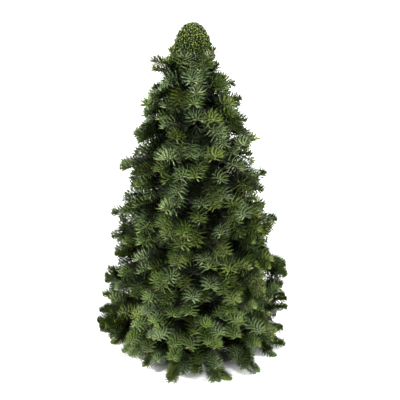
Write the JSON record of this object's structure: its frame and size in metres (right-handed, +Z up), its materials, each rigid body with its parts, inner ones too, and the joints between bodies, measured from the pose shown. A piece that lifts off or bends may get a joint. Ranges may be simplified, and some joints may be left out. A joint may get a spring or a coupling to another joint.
{
  "type": "christmas tree",
  "caption": "Dense table-size cut fir, a round-topped cone of drooping sprays that hang to the floor, on a plain wooden cross foot.",
  "frame": {"origin": "middle of the cross foot's flat underside, under the trunk", "axes": "+Z up along the trunk; the pictured side faces -Y, with +X to its right"},
  "size_m": [0.4618, 0.4648, 0.7969],
  "materials": {
    "bark": "rough grey-brown bark",
    "needles": "matt needles in blue-grey, dark and yellow-green",
    "timber": "planed and unpainted"
  },
  "bodies": {
    "root": {"trunk": "bark", "bough_skirt_1": "bark", "bough_skirt_2": "bark", "bough_skirt_3": "bark", "bough_skirt_4": "bark", "bough_skirt_5": "bark", "bough_skirt_6": "bark", "bough_low_1": "bark", "bough_low_2": "bark", "bough_low_3": "bark", "bough_low_4": "bark", "bough_low_5": "bark", "bough_low_6": "bark", "bough_middle_1": "bark", "bough_middle_2": "bark", "bough_middle_3": "bark", "bough_middle_4": "bark", "bough_middle_5": "bark", "bough_high_1": "bark", "bough_high_2": "bark", "bough_high_3": "bark", "bough_high_4": "bark", "bough_upper_1": "bark", "bough_upper_2": "bark", "bough_upper_3": "bark", "foliage_skirt_1": "needles", "foliage_skirt_2": "needles", "foliage_skirt_3": "needles", "foliage_skirt_4": "needles", "foliage_skirt_5": "needles", "foliage_skirt_6": "needles", "foliage_low_1": "needles", "foliage_low_2": "needles", "foliage_low_3": "needles", "foliage_low_4": "needles", "foliage_low_5": "needles", "foliage_low_6": "needles", "foliage_middle_1": "needles", "foliage_middle_2": "needles", "foliage_middle_3": "needles", "foliage_middle_4": "needles", "foliage_middle_5": "needles", "foliage_high_1": "needles", "foliage_high_2": "needles", "foliage_high_3": "needles", "foliage_high_4": "needles", "foliage_upper_1": "needles", "foliage_upper_2": "needles", "foliage_upper_3": "needles", "foliage_top": "needles", "stand_batten_lower": "timber", "stand_batten_upper": "timber", "stand_brace_1": "timber", "stand_brace_2": "timber", "stand_brace_3": "timber", "stand_brace_4": "timber"}
  },
  "joints": []
}
